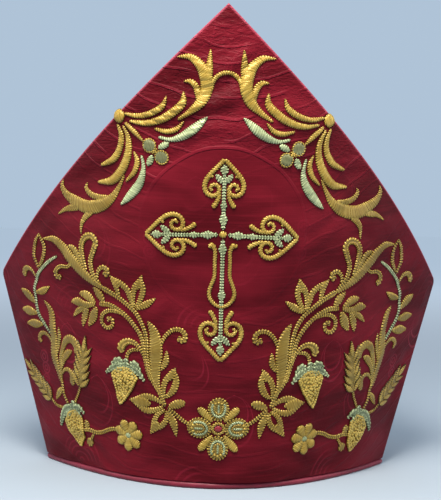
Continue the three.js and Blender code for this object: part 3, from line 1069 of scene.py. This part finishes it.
def damask_figure(tree, place):
    """Woven figure of thin lines, in metres on the flat panel: medallions, roundels, drops and fans."""
    wobble = noise(tree, place, scale=22.0, detail=1.0).outputs["Color"]
    centred = on_vectors(tree, "SUBTRACT", wobble, (0.5, 0.5, 0.5))
    bent = on_vectors(tree, "ADD", place, on_vectors(tree, "MULTIPLY", centred, FIGURE_WANDER))
    lines = []
    radius, angle = around(tree, bent, (0.0, CROSS_HEIGHT * MM), MEDALLION_REPEAT)
    petals = calculate(tree, "COSINE", calculate(tree, "MULTIPLY", angle, 8.0))
    medallion = line_at(tree, radius, calculate(tree, "MULTIPLY_ADD", petals, 0.004, 0.034), FIGURE_LINE)
    lines.append(calculate(tree, "MULTIPLY", medallion, 0.4))
    for centre, size in ROUNDELS:
        radius, _ = around(tree, bent, centre, FIGURE_REPEAT)
        lines.append(line_at(tree, radius, size, FIGURE_LINE))
        lines.append(line_at(tree, radius, size * 0.45, FIGURE_LINE))
    for centre, length in DROPS:
        radius, angle = around(tree, bent, centre, FIGURE_REPEAT)
        downward = calculate(tree, "MULTIPLY", calculate(tree, "SINE", angle), -1.0)
        outline = calculate(tree, "POWER", calculate(tree, "MAXIMUM", downward, 0.0), 2.2)
        for share in (length, length * 0.72):
            lines.append(line_at(tree, radius, calculate(tree, "MULTIPLY", outline, share), DROP_LINE))
    for centre, reach in FANS:
        radius, angle = around(tree, bent, centre, FIGURE_REPEAT)
        turns = calculate(tree, "DIVIDE", radius, FAN_SPACING)
        arcs = line_at(tree, calculate(tree, "FRACT", turns), 0.5, 0.1)
        within = calculate(tree, "MULTIPLY", ramp(tree, radius, reach, reach * 1.05, 1.0, 0.0),
                           ramp(tree, calculate(tree, "SINE", angle), 0.1, 0.3))
        lines.append(calculate(tree, "MULTIPLY", arcs, calculate(tree, "MULTIPLY", within, 0.7)))
    total = lines[0]
    for line in lines[1:]:
        total = calculate(tree, "MAXIMUM", total, line)
    broken = noise(tree, place, scale=24.0, detail=1.0).outputs[0]
    total = calculate(tree, "MULTIPLY", total, ramp(tree, broken, 0.4, 0.6, 0.05, 1.0))
    height = add_node(tree, "ShaderNodeSeparateXYZ", {0: place}).outputs[1]
    return calculate(tree, "MULTIPLY", total, ramp(tree, height, 0.1, 0.145, 1.0, 0.35))


def around(tree, place, centre, repeat):
    """Distance and angle about a centre that repeats over the cloth."""
    half = (repeat[0] / 2, repeat[1] / 2, 0)
    local = on_vectors(tree, "ADD", place, (half[0] - centre[0], half[1] - centre[1], 0))
    wrapped = on_vectors(tree, "WRAP", local, (*repeat, 1.0), (0, 0, -1))
    middle = on_vectors(tree, "SUBTRACT", wrapped, half)
    parts = add_node(tree, "ShaderNodeSeparateXYZ", {0: middle})
    squares = [calculate(tree, "MULTIPLY", parts.outputs[k], parts.outputs[k]) for k in (0, 1)]
    radius = calculate(tree, "SQRT", calculate(tree, "ADD", *squares))
    return radius, calculate(tree, "ARCTAN2", parts.outputs[1], parts.outputs[0])


def damask_wrinkles(tree, place):
    """Sewn ridges, which are arcs below the peak and a ring, and the relief of the crinkles."""
    height = add_node(tree, "ShaderNodeSeparateXYZ", {0: place}).outputs[1]
    drift = noise(tree, place, scale=26.0, detail=1.0).outputs[0]
    breaks = noise(tree, place, scale=40.0, detail=1.0).outputs[0]
    ringed, _ = around(tree, place, (0.0, CROSS_HEIGHT * MM), NO_REPEAT)
    ringed = calculate(tree, "MULTIPLY_ADD", drift, 0.004, ringed)
    quilting = line_at(tree, ringed, RING_RADIUS * MM, 0.0006)
    quilting = calculate(tree, "MULTIPLY", quilting, ramp(tree, height, 0.178, 0.212, 0.12, 0.65))
    beyond_ring = ramp(tree, ringed, (RING_RADIUS - 3) * MM, (RING_RADIUS + 3) * MM, 0.12, 1.0)
    upper = calculate(tree, "MULTIPLY", ramp(tree, height, 0.18, 0.225, 0.2, 1.0), beyond_ring)
    sagging, _ = around(tree, place, ARC_CENTRE, NO_REPEAT)
    turns = calculate(tree, "MULTIPLY_ADD", drift, 1.5, calculate(tree, "DIVIDE", sagging, ARC_SPACING))
    arcs = line_at(tree, calculate(tree, "FRACT", turns), 0.5, 0.045)
    arcs = calculate(tree, "MULTIPLY", arcs, ramp(tree, breaks, 0.38, 0.52, 0.0, 1.0))
    arcs = calculate(tree, "MULTIPLY", arcs, upper)
    creases = [fine_crease(tree, place, scale, share) for scale, share in CRINKLES]
    crinkle = calculate(tree, "MULTIPLY", calculate(tree, "ADD", *creases), upper)
    return calculate(tree, "MAXIMUM", arcs, quilting), crinkle


def fine_crease(tree, place, scale, share):
    """Small sharp creases that lie mostly level."""
    stretched = scaled(tree, place, (*scale, 1))
    level = noise(tree, stretched, scale=1.0, detail=2.0, distortion=0.6).outputs[0]
    gap = calculate(tree, "ABSOLUTE", calculate(tree, "SUBTRACT", level, 0.5))
    return calculate(tree, "MULTIPLY", gap, share)


# Scale of the weave's texture, and colours of the damask: its ground where it is darkest and lightest,
# its streaks, its woven lines, which also give the painted highlight along the ridges, and the painted
# sheen on the fold along its top edges.
WEAVE_SCALE = 260.0
DAMASK_DARK = (0.054, 0.0019, 0.0041, 1)
DAMASK_LIGHT = (0.113, 0.0048, 0.0102, 1)
DAMASK_STREAK = (0.155, 0.0068, 0.0150, 1)
DAMASK_LINES_AND_HIGHLIGHT = (0.25, 0.014, 0.031, 1)
DAMASK_FOLD_SHEEN = (0.32, 0.055, 0.085, 1)


def damask_material():
    """Red silk with a tone-on-tone figure, puckered ridges and a soft sheen."""
    material, tree, shader = new_material("damask", Sheen_Weight=0.05, Sheen_Roughness=0.35,
                                          Sheen_Tint=(0.9, 0.1, 0.17, 1), Specular_IOR_Level=0.06)
    flat = add_node(tree, "ShaderNodeUVMap", uv_map="flat").outputs[0]
    weave = use_group(tree, WEAVE, Position=flat, Threads=WEAVE_SCALE)
    figure = damask_figure(tree, flat)
    ridges, crinkle = damask_wrinkles(tree, flat)
    stretched = scaled(tree, flat, (13, 34, 1))
    cloud = noise(tree, stretched, scale=1.0, detail=3.0, distortion=0.4).outputs[0]
    ground = blend_colours(tree, ramp(tree, cloud, 0.34, 0.66), DAMASK_DARK, DAMASK_LIGHT)
    streak = ramp(tree, weave.outputs["Streak"], 0.45, 0.75, 0.0, 0.28)
    ground = blend_colours(tree, streak, ground, DAMASK_STREAK)
    # The woven figure is lighter, and the sewn ridges and arcs get a painted highlight.
    light = calculate(tree, "MAXIMUM", calculate(tree, "MULTIPLY", figure, 0.37),
                      calculate(tree, "MULTIPLY", ridges, 0.2))
    colour = blend_colours(tree, light, ground, DAMASK_LINES_AND_HIGHLIGHT)
    # Painted sheen: a lighter pink where the cloth turns over its top edges.
    fold = ramp(tree, attribute(tree, "fold"), 0.4, 1.6, 0.6, 0.0)
    colour = blend_colours(tree, fold, colour, DAMASK_FOLD_SHEEN)
    tree.links.new(colour, shader.inputs["Base Color"])
    tree.links.new(ramp(tree, figure, 0.0, 1.0, 0.5, 0.4), shader.inputs["Roughness"])
    threads = calculate(tree, "MULTIPLY", weave.outputs["Height"], 0.02)
    relief = calculate(tree, "MULTIPLY_ADD", figure, 0.12, threads)
    relief = calculate(tree, "MULTIPLY_ADD", ridges, 0.75, calculate(tree, "ADD", relief, crinkle))
    add_bump(tree, shader, relief, strength=0.9, distance=0.001)
    return material


def plain_cloth_material(name, low, high, sheen, roughness, uv_map=None):
    """Plain woven satin for the binding, the gusset and the inside of the panels."""
    material, tree, shader = new_material(name, Sheen_Weight=sheen, Sheen_Roughness=0.4,
                                          Sheen_Tint=(0.9, 0.15, 0.25, 1), Specular_IOR_Level=0.3,
                                          Roughness=roughness)
    place = add_node(tree, "ShaderNodeTexCoord").outputs["Object"]
    if uv_map:
        place = add_node(tree, "ShaderNodeUVMap", uv_map=uv_map).outputs[0]
    weave = use_group(tree, WEAVE, Position=place, Threads=WEAVE_SCALE)
    cloud = calculate(tree, "MULTIPLY", noise(tree, place, scale=40.0, detail=3.0).outputs[0], 0.4)
    mixed = calculate(tree, "MULTIPLY_ADD", weave.outputs["Streak"], 0.6, cloud)
    colour = blend_colours(tree, ramp(tree, mixed, 0.35, 0.65), low, high)
    tree.links.new(colour, shader.inputs["Base Color"])
    add_bump(tree, shader, weave.outputs["Height"], strength=0.3, distance=0.0002)
    return material


DAMASK = damask_material()
LINING = plain_cloth_material("lining", (0.10, 0.006, 0.014, 1), (0.15, 0.01, 0.024, 1),
                              sheen=0.2, roughness=0.5, uv_map="flat")
GUSSET_CLOTH = plain_cloth_material("gusset_cloth", (0.09, 0.004, 0.011, 1), (0.145, 0.008, 0.02, 1),
                                    sheen=0.15, roughness=0.42)
BINDING_CLOTH = plain_cloth_material("binding_cloth", (0.11, 0.006, 0.015, 1), (0.17, 0.011, 0.026, 1),
                                     sheen=0.2, roughness=0.45)
# Each thread has a painted shade colour, its own colour, and a lighter colour for its lighter threads and
# its painted highlights.
GOLD = thread_material("gold_thread", (0.034, 0.015, 0.001, 1), (0.215, 0.122, 0.009, 1),
                       (0.48, 0.34, 0.07, 1), Metallic=0.25, Roughness=0.38, Specular_IOR_Level=0.35)
MINT = thread_material("mint_thread", (0.035, 0.047, 0.015, 1), (0.155, 0.182, 0.08, 1),
                       (0.45, 0.50, 0.27, 1), Metallic=0.1, Roughness=0.38, Specular_IOR_Level=0.4)
SAGE = thread_material("sage_thread", (0.05, 0.048, 0.012, 1), (0.145, 0.145, 0.06, 1),
                       (0.225, 0.225, 0.1, 1), Metallic=0.1, Roughness=0.4, Specular_IOR_Level=0.35)
RED = thread_material("red_thread", (0.05, 0.002, 0.004, 1), (0.17, 0.006, 0.011, 1),
                      (0.26, 0.011, 0.018, 1), Roughness=0.35)


# Cloth pieces

def only(piece):
    """Leaves one object selected and active."""
    bpy.ops.object.select_all(action="DESELECT")
    piece.select_set(True)
    bpy.context.view_layer.objects.active = piece


def cut_along(place, direction, clear, fill=False):
    """Cuts the mesh in edit mode along a plane, and clears what lies beyond it."""
    bpy.ops.mesh.select_all(action="SELECT")
    bpy.ops.mesh.bisect(plane_co=place, plane_no=direction, clear_outer=clear, use_fill=fill,
                        threshold=1e-7)


def vertex_places(mesh):
    places = np.empty(len(mesh.vertices) * 3, np.float32)
    mesh.vertices.foreach_get("co", places)
    return places.reshape(-1, 3).astype(float)


def move_vertices(mesh, places):
    mesh.vertices.foreach_set("co", places.astype(np.float32).ravel())
    mesh.update()


# Spacing of the panel's mesh, the margin of cloth that is cut away, and how far inside the edges the
# cloth is scored, in millimetres.
PANEL_SPACING = 1.7
PANEL_MARGIN = 8
EDGE_SCORES = (2.6, 1.3, 0.8, 0.4, 0.15)


def cut_panel(name):
    """Flat cloth cut to the panel's outline, scored close to its edges so that they can roll over."""
    width = 2 * SHOULDER[0] + PANEL_MARGIN
    low = SEAM_FOOT[1] - PANEL_MARGIN
    height = PEAK[1] - low + PANEL_MARGIN / 2
    columns = round(width / PANEL_SPACING)
    lines = round(height / PANEL_SPACING)
    bpy.ops.object.select_all(action="DESELECT")
    bpy.ops.mesh.primitive_grid_add(x_subdivisions=columns, y_subdivisions=lines, size=1)
    panel = bpy.context.object
    panel.name = name
    panel.scale = (width * MM, height * MM, 1)
    panel.location = (0, (low + height / 2) * MM, 0)
    bpy.ops.object.transform_apply()
    bpy.ops.object.mode_set(mode="EDIT")
    for mirror in (1, -1):
        for place, normal in PANEL_CUTS:
            direction = (normal[0] * mirror, normal[1], 0)
            cut_along((place[0] * mirror * MM, place[1] * MM, 0), direction, True)
        for place, normal in PANEL_CUTS[:2]:
            direction = (normal[0] * mirror, normal[1], 0)
            for score in EDGE_SCORES:
                inner = place - normal * score
                cut_along((inner[0] * mirror * MM, inner[1] * MM, 0), direction, False)
    bpy.ops.object.mode_set(mode="OBJECT")
    return panel


def roll_panel(panel, seed):
    """Rolls the cut cloth round the cone and gives it its puckers and its flat map."""
    mesh = panel.data
    flat = vertex_places(mesh)[:, :2] / MM
    corner = np.empty(len(mesh.loops), np.int32)
    mesh.loops.foreach_get("vertex_index", corner)
    while mesh.uv_layers:
        mesh.uv_layers.remove(mesh.uv_layers[0])
    flat_map = mesh.uv_layers.new(name="flat")
    flat_map.data.foreach_set("uv", (flat[corner] * MM).astype(np.float32).ravel())
    # Distance below the top edges, which places the painted sheen on the fold.
    fold = mesh.attributes.new("fold", "FLOAT", "POINT")
    fold.data.foreach_set("value", from_top_edge(flat).astype(np.float32))
    lifted = on_cone(flat) + outward(flat) * cloth_relief(flat, seed)[:, None]
    move_vertices(mesh, lifted * MM)


def thicken_panel(panel):
    """Trims the foot, gives the panel its wall, closes it flush at the side seams and tells its area."""
    only(panel)
    bpy.ops.object.mode_set(mode="EDIT")
    cut_along((0, 0, PANEL_LOWER_EDGE * MM), (0, 0, -1), True)
    bpy.ops.object.mode_set(mode="OBJECT")
    flat_area = sum(face.area for face in panel.data.polygons)
    panel.data.materials.clear()
    panel.data.materials.append(DAMASK)
    panel.data.materials.append(LINING)
    wall = panel.modifiers.new("wall", "SOLIDIFY")
    wall.thickness = PANEL_THICKNESS * MM
    wall.offset = -1
    wall.material_offset = 1
    bpy.ops.object.modifier_apply(modifier=wall.name)
    bpy.ops.object.mode_set(mode="EDIT")
    cut_along((0, -SEAM_SLIT / 2 * MM, 0), (0, 1, 0), True, fill=True)
    bpy.ops.object.mode_set(mode="OBJECT")
    bpy.ops.object.shade_smooth_by_angle(angle=math.radians(50))
    return flat_area


def make_panel(name, node, seed, turn):
    panel = cut_panel(name)
    roll_panel(panel, seed)
    flat_area = thicken_panel(panel)
    if turn:
        panel.rotation_euler = (0, 0, math.pi)
        bpy.ops.object.transform_apply()
    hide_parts(node)
    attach(panel, "root")
    return panel


# Stations along the front of the binding and again along its back, its radius in millimetres, and how far
# a wall's depth shows sideways where the panel meets its side seam.
BINDING_STATIONS = 180
BINDING_RADIUS = 2.0
SIDE_SLANT = math.hypot(1, RIM_HALF_WIDTH / (2 * RIM_HALF_DEPTH))


def make_binding():
    """Rolled bias binding, swept round the rim, with the slight ripple of a sewn roll."""
    bpy.ops.object.select_all(action="DESELECT")
    bpy.ops.mesh.primitive_circle_add(vertices=2 * BINDING_STATIONS, radius=0.1)
    binding = bpy.context.object
    binding.name = "binding_roll"
    middle = PANEL_THICKNESS / 2
    half_width = RIM_HALF_WIDTH - middle * SIDE_SLANT
    half_depth = RIM_HALF_DEPTH - middle
    for station, vertex in enumerate(binding.data.vertices):
        turn = station / BINDING_STATIONS
        across = math.sin(math.pi * ((turn % 1) - 0.5))
        side = 1 if turn < 1 else -1
        depth = -side * half_depth * (1 - across * across)
        vertex.co = Vector((half_width * across * side, depth, BINDING_HEIGHT / 2)) * MM
    only(binding)
    bpy.ops.object.convert(target="CURVE")
    binding.data.bevel_depth = BINDING_RADIUS * MM
    binding.data.bevel_resolution = 4
    bpy.ops.object.convert(target="MESH")
    binding = bpy.context.object
    binding.name = "binding_roll"
    bpy.ops.object.mode_set(mode="EDIT")
    bpy.ops.mesh.select_all(action="SELECT")
    bpy.ops.mesh.remove_doubles(threshold=1e-6)
    bpy.ops.mesh.normals_make_consistent(inside=False)
    bpy.ops.object.mode_set(mode="OBJECT")
    ripple_binding(binding)
    bpy.ops.object.shade_smooth()
    binding.data.materials.clear()
    binding.data.materials.append(BINDING_CLOTH)
    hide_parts("rim_binding")
    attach(binding, "root")
    return binding


# Ripple of the binding: its seed, the number of its waves and the height of each in millimetres.
RIPPLE_SEED = 5
RIPPLE_WAVES = 10
RIPPLE_HEIGHT = 0.05


def ripple_binding(binding):
    """Swells the roll a little in and out along the rim, least at its top and bottom."""
    points = vertex_places(binding.data)
    turn = np.arctan2(points[:, 1] / RIM_HALF_DEPTH, points[:, 0] / RIM_HALF_WIDTH)
    draw = np.random.default_rng(RIPPLE_SEED)
    ripple = 0
    for _ in range(RIPPLE_WAVES):
        ripple = ripple + np.sin(turn * draw.integers(20, 190) + draw.uniform(0, 7)) * RIPPLE_HEIGHT
    share = points[:, 2] / (BINDING_HEIGHT * MM)
    outer = np.sin(np.clip(share, 0, 1) * math.pi)
    grow = 1 + ripple * outer * MM / np.maximum(np.hypot(points[:, 0], points[:, 1]), 0.01)
    points[:, :2] *= grow[:, None]
    move_vertices(binding.data, points)


# The gusset's mesh, its flat size in metres, its slack as a share, the frames that it settles for and
# its thickness in millimetres.
GUSSET_COLUMNS = 84
GUSSET_ROWS = 56
GUSSET_SLACK = 0.035
GUSSET_FRAMES = 24
GUSSET_THICKNESS = 0.8

# The valley before it settles: its depth as a share of the peak's height above the shoulders, how near
# to the side seams it runs as a share of the half width, and how round its floor is.
GUSSET_FALL = 0.64
GUSSET_REACH = 0.98
VALLEY_SOFTNESS = 0.22


def top_edge_height(across):
    """Height of the panel's straight top edge on one line of the cone."""
    angle = np.interp(across, ACROSS, FLAT_ANGLES)
    line = np.stack([np.abs(np.sin(angle)), np.cos(angle)], -1)
    radius = np.dot(PEAK + [0, FLAT_RADIUS], TOP_NORMAL) / (line @ TOP_NORMAL)
    return CONE_POINT_DEPTH * (radius / np.linalg.norm(ruling(across), axis=-1) - 1)


def gusset_points(across, along):
    """Cloth that hangs from the two panels' top edges and falls between them as a valley."""
    height = top_edge_height(across) - GUSSET_INSET
    inside = PANEL_THICKNESS + SEWN_GAP
    half_width = RIM_HALF_WIDTH * growth(height) - inside * SIDE_SLANT
    half_depth = RIM_HALF_DEPTH * growth(height) - inside
    depth = np.maximum(half_depth * (1 - across * across), SEWN_GAP / 2)
    soft = np.hypot(along, VALLEY_SOFTNESS) - VALLEY_SOFTNESS
    rise = soft / (math.hypot(1, VALLEY_SOFTNESS) - VALLEY_SOFTNESS)
    drop = np.maximum(height - SEAM_HEIGHT, 0) * GUSSET_FALL * (1 - rise)
    return np.stack([half_width * across, depth * along, height - drop], -1)


def make_gusset():
    """Gusset between the peaks, slackened and settled as cloth that is sewn along its edges."""
    bpy.ops.object.select_all(action="DESELECT")
    bpy.ops.mesh.primitive_grid_add(x_subdivisions=GUSSET_COLUMNS, y_subdivisions=GUSSET_ROWS, size=2)
    gusset = bpy.context.object
    gusset.name = "gusset_cloth"
    mesh = gusset.data
    square = np.array([vertex.co[:2] for vertex in mesh.vertices])
    across = np.sin(square[:, 0] * math.pi / 2) * GUSSET_REACH
    move_vertices(mesh, gusset_points(across, square[:, 1]) * MM)
    sewn = gusset.vertex_groups.new(name="sewn")
    border = [i for i, place in enumerate(square) if np.max(np.abs(place)) > 0.999]
    sewn.add(border, 1.0, "ADD")
    only(gusset)
    settle_gusset(gusset)
    wall = gusset.modifiers.new("wall", "SOLIDIFY")
    wall.thickness = GUSSET_THICKNESS * MM
    wall.offset = 1
    bpy.ops.object.modifier_apply(modifier=wall.name)
    bpy.ops.object.shade_smooth_by_angle(angle=math.radians(60))
    gusset.data.materials.clear()
    gusset.data.materials.append(GUSSET_CLOTH)
    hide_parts("crown_gusset")
    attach(gusset, "root")
    return gusset


def settle_gusset(gusset):
    """Lets the slack cloth fall between its sewn edges, then smooths out its small folds."""
    scene = bpy.context.scene
    cloth = gusset.modifiers.new("settle", "CLOTH")
    cloth.settings.quality = 6
    cloth.settings.mass = 0.15
    cloth.settings.tension_stiffness = 20
    cloth.settings.compression_stiffness = 20
    cloth.settings.shear_stiffness = 6
    cloth.settings.bending_stiffness = 0.8
    cloth.settings.air_damping = 3
    cloth.settings.vertex_group_mass = "sewn"
    cloth.settings.shrink_min = -GUSSET_SLACK
    cloth.settings.shrink_max = -GUSSET_SLACK
    cloth.collision_settings.use_collision = False
    for step in range(1, GUSSET_FRAMES + 1):
        scene.frame_set(step)
    bpy.ops.object.modifier_apply(modifier=cloth.name)
    scene.frame_set(1)
    soften = gusset.modifiers.new("soften", "SMOOTH")
    soften.vertex_group = "sewn"
    soften.invert_vertex_group = True
    soften.factor = 0.5
    soften.iterations = 8
    bpy.ops.object.modifier_apply(modifier=soften.name)


# Stage

# Colours of the floor near the mitre, darkened there as painted shade, and far from it, and of the
# light all round.
FLOOR_NEAR_SHADED = (0.3, 0.345, 0.39, 1)
FLOOR_FAR = (0.97, 0.97, 0.97, 1)
ROOM_LIGHT = (0.43, 0.546, 0.68, 1)


def add_camera():
    level_share = math.cos(CAMERA_PITCH)
    heading = Vector((math.sin(CAMERA_YAW) * level_share, math.cos(CAMERA_YAW) * level_share,
                      math.sin(CAMERA_PITCH)))
    level = Vector((math.cos(CAMERA_YAW), -math.sin(CAMERA_YAW), 0))
    upright = level.cross(heading)
    right = level * math.cos(CAMERA_ROLL) + upright * math.sin(CAMERA_ROLL)
    up = upright * math.cos(CAMERA_ROLL) - level * math.sin(CAMERA_ROLL)
    turn = Matrix((right, up, -heading)).transposed().to_euler()
    bpy.ops.object.camera_add(location=CAMERA_PLACE, rotation=turn)
    camera = bpy.context.object
    camera.data.sensor_width = 36
    camera.data.lens = FOCAL_PIXELS * camera.data.sensor_width / PHOTO_HEIGHT
    camera.data.clip_start = 0.01
    bpy.context.scene.camera = camera


def add_softbox(place, target, size, power, colour, spread=180):
    bpy.ops.object.light_add(type="AREA", location=place)
    lamp = bpy.context.object
    lamp.rotation_euler = (Vector(target) - Vector(place)).to_track_quat("-Z", "Y").to_euler()
    lamp.data.size = size
    lamp.data.spread = math.radians(spread)
    lamp.data.energy = power
    lamp.data.color = colour


def add_stage():
    bpy.ops.object.select_all(action="DESELECT")
    bpy.ops.mesh.primitive_plane_add(size=30)
    floor = bpy.context.object
    floor.name = "floor"
    material, tree, shader = new_material("pale_floor", Roughness=0.9, Specular_IOR_Level=0.0)
    place = add_node(tree, "ShaderNodeTexCoord").outputs["Object"]
    away = add_node(tree, "ShaderNodeVectorMath", {0: place}, operation="LENGTH").outputs["Value"]
    # The floor is painted darker towards the mitre, as shade round its foot.
    pale = blend_colours(tree, ramp(tree, away, 0.2, 2.4), FLOOR_NEAR_SHADED, FLOOR_FAR)
    tree.links.new(pale, shader.inputs["Base Color"])
    floor.data.materials.append(material)
    world = bpy.data.worlds.new("studio")
    world.use_nodes = True
    background = world.node_tree.nodes["Background"]
    background.inputs[0].default_value = ROOM_LIGHT
    background.inputs[1].default_value = 1.0
    bpy.context.scene.world = world
    bpy.context.scene.view_settings.view_transform = "Standard"
    add_softbox((-0.06, -0.45, 0.64), target=(0, -0.14, 0.28), size=0.3, power=4.1,
                colour=(1, 0.95, 0.88), spread=110)
    for side in (-1, 1):
        add_softbox((0.62 * side, -0.16, 0.3), target=(0.1 * side, -0.05, 0.12), size=0.45, power=1.9,
                    colour=(1, 0.97, 0.93))
    add_softbox((0, 0.5, 1.7), target=(0, 0, 0.2), size=1.2, power=8, colour=(1, 1, 1))


def collect(name, strokes, material):
    """One piece of embroidery made of many strokes and knots."""
    stitches = Stitches()
    for style, points in strokes:
        if style == "knot":
            for side, up, radius in points:
                stitches.knot(np.array([side, up]), radius, 0.9, 0.6)
        else:
            stitches.stroke(style, points)
    return stitches.finish(name, material)


def add_embroidery():
    rims = [ring(berry, BERRY_RADIUS, 1.1) for berry in BERRIES]
    scrolls = broader(UPPER_GOLD, SCROLL_BREADTH) + rims
    collect("upper_scrolls_gold", mirrored(scrolls) + [UPPER_ARCH], GOLD)
    collect("upper_scrolls_mint", mirrored(broader(UPPER_MINT, SCROLL_BREADTH)), MINT)
    berries = [disc(side, up, BERRY_RADIUS, "leaf") for side, up in BERRIES]
    collect("upper_berries", mirrored(berries), SAGE)
    cross_gold, cross_mint = cross_strokes()
    collect("cross_gold", cross_gold, GOLD)
    collect("cross_mint", cross_mint, MINT)
    rosette_gold, rosette_mint = rosette_strokes()
    collect("rosette_gold", rosette_gold, GOLD)
    collect("rosette_mint", rosette_mint, MINT)
    collect("rosette_heart", [disc(*ROSETTE_CENTRE, 2.4)], RED)
    collect("vine_gold", mirrored(VINE_GOLD), GOLD)
    collect("vine_mint", mirrored(VINE_MINT + SPRAY_MINT), MINT)
    sprays = SPRAY_GOLD + wheat_strokes() + flower_strokes()
    collect("sprays_gold", mirrored(sprays), GOLD)
    collect("flower_hearts_mint", mirrored([disc(*FLOWER_CENTRE, 2.2)]), MINT)
    grapes = Stitches()
    for outline in GRAPES:
        grape_knots(grapes, outline)
        grape_knots(grapes, tuple(on_right(side, up) for side, up in outline[::-1]))
    grapes.finish("grapes_gold", GOLD)


add_camera()
add_stage()
make_panel("front_cloth", "front_panel", FRONT_SEED, False)
make_panel("back_cloth", "back_panel", BACK_SEED, True)
make_gusset()
make_binding()
add_embroidery()
